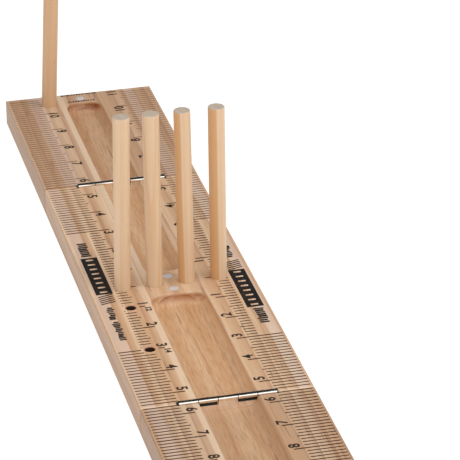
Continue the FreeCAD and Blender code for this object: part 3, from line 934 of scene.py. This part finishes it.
# %% [markdown]
# ## The printed scale
#
# The lines are brown-black ink that soaks a little way into the wood. Each is a very thin slab that
# stands a few hundredths of a millimetre proud, so that it is a real surface in every view. Short
# lines mark eighths; from three inches out they start at the board's edge, and inside that they are
# short, to leave room for the bar beside them. Lines stop short of the two empty holes.

# %% Ink
def ink(name, color, spread, fade=0.0):
    """Ink on wood: nearly flat, a little worn where the fibres are proud, and paler by fade on the
    far wing, where the printing plate ran dry."""
    recipe = Recipe(name)
    x, y, z = recipe.position()
    fibres = recipe.noise(x * 1500, y * 60, z * 1500, 2.0, 0.6)
    blots = recipe.noise(x * 900, y * 900, z * 900, 2.0)
    shade = recipe.blend(fibres.step(0.40, 0.75) * spread, color, paint(150, 108, 72))
    shade = recipe.blend(blots.step(0.5, 0.8) * spread * 0.6, shade, paint(120, 84, 54))
    shade = recipe.blend(y.step(0.06, 0.17) * fade, shade, paint(160, 122, 90))
    normal = recipe.bump(fibres, 0.03 * MM, 0.4)
    return recipe.finish(Base_Color=shade, Roughness=0.62, Normal=normal)


line_ink = ink("line_ink", paint(70, 42, 24), 0.10, 0.62)
number_ink = ink("number_ink", paint(30, 22, 18), 0.22)
bar_ink = ink("bar_ink", paint(26, 22, 22), 0.08)
print("inks:", line_ink.name, number_ink.name, bar_ink.name)

# %% [markdown]
# ## Thin slabs
#
# A printed line is a box with six faces, so a whole scale is one array of boxes and one array of
# faces. Each row of numbers gives one box's reach across and along the board.

# %% Slabs
INK_PROUD = 0.03 * MM
INK_SUNK = 0.02 * MM


def slabs(spans):
    """Closed thin slabs from rows of (x low, x high, y low, y high): eight corners, six faces each."""
    spans = np.asarray(spans, float)
    low_z, high_z = top_z - INK_SUNK, top_z + INK_PROUD
    xs = spans[:, [0, 1, 1, 0, 0, 1, 1, 0]]
    ys = spans[:, [2, 2, 3, 3, 2, 2, 3, 3]]
    zs = np.broadcast_to([low_z] * 4 + [high_z] * 4, xs.shape)
    points = np.stack([xs, ys, zs], axis=-1)
    one = np.array([[0, 3, 2, 1], [4, 5, 6, 7], [0, 1, 5, 4], [1, 2, 6, 5], [2, 3, 7, 6], [3, 0, 4, 7]])
    faces = one[None] + 8 * np.arange(len(spans))[:, None, None]
    return points, faces.reshape(-1, 4)


print("a slab is", round((INK_PROUD + INK_SUNK) / MM, 3), "mm thick")

# %% [markdown]
# ## Where the lines go
#
# The boards were printed in one piece and sawn afterwards, so past each joint the scale is shifted
# inwards by the saw's loss. The outer ends of the long lines stop just inside the board's edge.

# %% Scale lines
SAW_LOSS = 0.07 * INCH


def body_at(y):
    """The body whose board lies under this y."""
    if y < -joint_y:
        return "near_end"
    return "far_end" if y > joint_y else "centre"


LINE_INNER = 0.80 * INCH
HALF_INNER = 1.00 * INCH
EIGHTH_INNER = 1.05 * INCH
SHORT_OUTER = 1.30 * INCH
LONG_OUTER = half_width - 1.3 * MM
LINE_WIDTH = 0.90 * MM
WHOLE_WIDER = 1.15
HOLE_CLEAR = 4.9 * MM


def scale_lines():
    """Every line of both scales, as {body: rows of x low, x high, y low, y high}."""
    rows = {"near_end": [], "centre": [], "far_end": []}
    for eighth in range(-88, 89):
        inches = eighth / 8
        if abs(eighth) == 88 or eighth == 0:
            continue
        y = inches * INCH
        if abs(inches) > 5.5:
            y -= math.copysign(SAW_LOSS, inches)
        if abs(abs(y) - joint_y) < 0.8 * MM:
            continue
        whole = eighth % 8 == 0
        inner = LINE_INNER if whole else HALF_INNER if eighth % 4 == 0 else EIGHTH_INNER
        outer = LONG_OUTER if abs(inches) >= 3 else SHORT_OUTER
        width = LINE_WIDTH * (WHOLE_WIDER if whole else 1.0)
        for side in (-1, 1):
            spans = [(inner, outer)]
            for hole in HOLES:
                if side * hole.x > 0 and abs(y - hole.y) < HOLE_CLEAR:
                    reach = math.sqrt(HOLE_CLEAR ** 2 - (y - hole.y) ** 2)
                    middle = abs(hole.x)
                    low, high = middle - reach, middle + reach
                    spans = [s for a, b in spans for s in ((a, min(b, low)), (max(a, high), b))]
            for a, b in spans:
                if b - a > 0.5 * MM:
                    ends = sorted((side * a, side * b))
                    rows[body_at(y)].append((*ends, y - width / 2, y + width / 2))
    for side in (-1, 1):
        ends = sorted((side * 0.80 * INCH, side * 0.93 * INCH))
        rows["centre"].append((*ends, -0.45 * MM, 0.45 * MM))
    return rows


def dashes(y, count, reach, seed):
    """A row of short strokes across the board, centred on x = 0, as rows for slabs."""
    pick = np.random.default_rng(seed)
    starts = np.linspace(-reach, reach, count, endpoint=False)
    lengths = pick.uniform(0.45, 0.80, count) * 2 * reach / count
    tall = pick.uniform(1.2, 2.0, count) * MM
    return np.stack([starts, starts + lengths, y - tall / 2, y + tall / 2], axis=-1).tolist()


for body, rows in scale_lines().items():
    points, faces = slabs(rows)
    surface(f"scale_lines_{body}", points, faces, line_ink, body, smooth=False)
    print(f"{body}: {len(rows)} lines")

far_dashes = dashes(10.93 * INCH, 14, 0.46 * INCH, 4) + dashes(10.50 * INCH, 11, 0.36 * INCH, 9)
dash_points, dash_faces = slabs(far_dashes)
surface("far_dashes", dash_points, dash_faces, number_ink, "far_end", smooth=False)

# %% [markdown]
# ## The numbers
#
# The numbers are plain sans-serif figures that read from the loom's two long sides. Blender's text
# object gives the outline; it becomes a mesh before it is turned and placed, so the finished
# object stays at the origin.

# %% Numbers
def figure_mesh(text, height):
    """A flat mesh of the text, its capital height given, centred on the origin, with a small depth."""
    curve = bpy.data.curves.new("figure", "FONT")
    curve.body = text
    curve.size = height / 0.72
    curve.align_x = "CENTER"
    curve.align_y = "CENTER"
    curve.offset = 0.00023
    curve.extrude = (INK_PROUD + INK_SUNK) / 2
    curve.resolution_u = 4
    holder = bpy.data.objects.new("figure", curve)
    bpy.context.scene.collection.objects.link(holder)
    bpy.context.view_layer.update()
    mesh = bpy.data.meshes.new_from_object(holder.evaluated_get(bpy.context.evaluated_depsgraph_get()))
    bpy.data.objects.remove(holder)
    bpy.data.curves.remove(curve)
    points = np.array([v.co for v in mesh.vertices], float)
    faces = [list(p.vertices) for p in mesh.polygons]
    bpy.data.meshes.remove(mesh)
    middle = (points.min(0) + points.max(0)) / 2
    return points - middle, faces


def figures(name, body, labels, height, squeeze):
    """One piece of several numbers. Each label is (text, x, y, side); side -1 reads from the left."""
    all_points, all_faces, count = [], [], 0
    for text, x, y, side in labels:
        points, faces = figure_mesh(text, height)
        turned = np.stack([-side * points[:, 1], side * points[:, 0] * squeeze, points[:, 2]], axis=-1)
        all_points.append(turned + (x, y, top_z + (INK_PROUD - INK_SUNK) / 2))
        all_faces += [[i + count for i in face] for face in faces]
        count += len(points)
    mesh = bpy.data.meshes.new(name)
    mesh.from_pydata(np.concatenate(all_points).tolist(), [], all_faces)
    thing = bpy.data.objects.new(name, mesh)
    bpy.context.scene.collection.objects.link(thing)
    mesh.materials.append(number_ink)
    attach(thing, body)
    print(f"{name}: {len(labels)} numbers, {len(all_faces)} faces")
    return thing


NUMBER_X = 0.835 * INCH
NUMBER_BACK = 0.14 * INCH
NUMBER_HIGH = 0.235 * INCH
labels = {"near_end": [], "centre": [], "far_end": []}
for inches in [n for n in range(-11, 12) if n]:
    towards_middle = -math.copysign(NUMBER_BACK, inches)
    y = inches * INCH + towards_middle
    if abs(inches) > 5.5:
        y -= math.copysign(SAW_LOSS, inches)
    for side in (-1, 1):
        labels[body_at(y)].append((str(abs(inches)), side * NUMBER_X, y, side))
for body, wanted in labels.items():
    figures(f"scale_numbers_{body}", body, wanted, NUMBER_HIGH, 1.0)
SPARE_X = -0.755 * INCH
SPARE_BACK = 0.155 * INCH
spare_labels = [(text, SPARE_X, hole.y - SPARE_BACK, -1) for text, hole in zip(("12", "14"), HOLES)]
figures("hole_numbers", "centre", spare_labels, 0.13 * INCH, 1.15)

# %% [markdown]
# ## The printed bands
#
# Beside the peg row each side carries a printed band that needs no words: a dark bar with a row of
# bare windows, five slanted strokes and two combs of short strokes. The right band is the left one
# turned half round.

# %% Bands
BAND_INNER = -1.37 * INCH
BAND_OUTER = -1.75 * INCH
BAR_START, BAR_END = -0.22 * INCH, 1.65 * INCH
WINDOWS = 8


def bar_rows():
    """The dark bar: two long strips, and the upright pieces between its windows."""
    margin = 0.105 * INCH
    rows = [(BAND_OUTER, BAND_OUTER + margin, BAR_START, BAR_END),
            (BAND_INNER - margin, BAND_INNER, BAR_START, BAR_END)]
    pitch = (BAR_END - BAR_START) / WINDOWS
    window = 0.30 * pitch
    for number in range(WINDOWS + 1):
        low = max(BAR_START, BAR_START + number * pitch - (pitch - window) / 2)
        high = min(BAR_END, BAR_START + number * pitch + (pitch - window) / 2)
        rows.append((BAND_OUTER + margin, BAND_INNER - margin, low, high))
    return rows


def comb_rows(start, end, count, low_x, high_x, seed):
    """A comb of short strokes from start to end, each a little different in width and reach."""
    pick = np.random.default_rng(seed)
    at = np.linspace(start, end, count)
    wide = pick.uniform(0.055, 0.085, count) * INCH
    low = low_x + pick.uniform(0.0, 0.05, count) * INCH
    high = high_x - pick.uniform(0.0, 0.05, count) * INCH
    return np.stack([low, high, at - wide / 2, at + wide / 2], axis=-1).tolist()


def slanted(points, start, end, lean):
    """Lean thin slabs: y grows by lean across the band where start < y < end."""
    inside = (points[..., 1] > start) & (points[..., 1] < end)
    share = (points[..., 0] - BAND_OUTER) / (BAND_INNER - BAND_OUTER)
    points[..., 1] += np.where(inside, share * lean, 0.0)
    return points


strokes = [(BAND_OUTER + 0.02 * INCH, BAND_INNER - 0.02 * INCH, y - 0.55 * MM, y + 0.55 * MM)
           for y in np.linspace(-0.70, -0.34, 5) * INCH]
combs = comb_rows(-2.42 * INCH, -1.60 * INCH, 11, -1.69 * INCH, -1.50 * INCH, 3)
combs += comb_rows(-1.42 * INCH, -0.90 * INCH, 7, -1.69 * INCH, -1.50 * INCH, 5)
combs += comb_rows(1.76 * INCH, 2.40 * INCH, 8, -1.71 * INCH, -1.46 * INCH, 8)
band_points, band_faces = slabs(bar_rows() + strokes + combs)
band_points = slanted(band_points, -0.75 * INCH, -0.29 * INCH, 0.10 * INCH)
surface("band_left", band_points, band_faces, bar_ink, "centre", smooth=False)
half_turn = np.array([-1.0, -1.0, 1.0])
surface("band_right", band_points * half_turn, band_faces, bar_ink, "centre", smooth=False)
print("printed bands: 2, slabs in each:", len(band_points))

# %% [markdown]
# ## Finish
#
# The last cell holds a helper that turns a box into plain lists of numbers.

# %% Sizes and finish
def corners(found):
    """A box as plain lists of numbers."""
    return [[float(v) for v in corner] for corner in found]
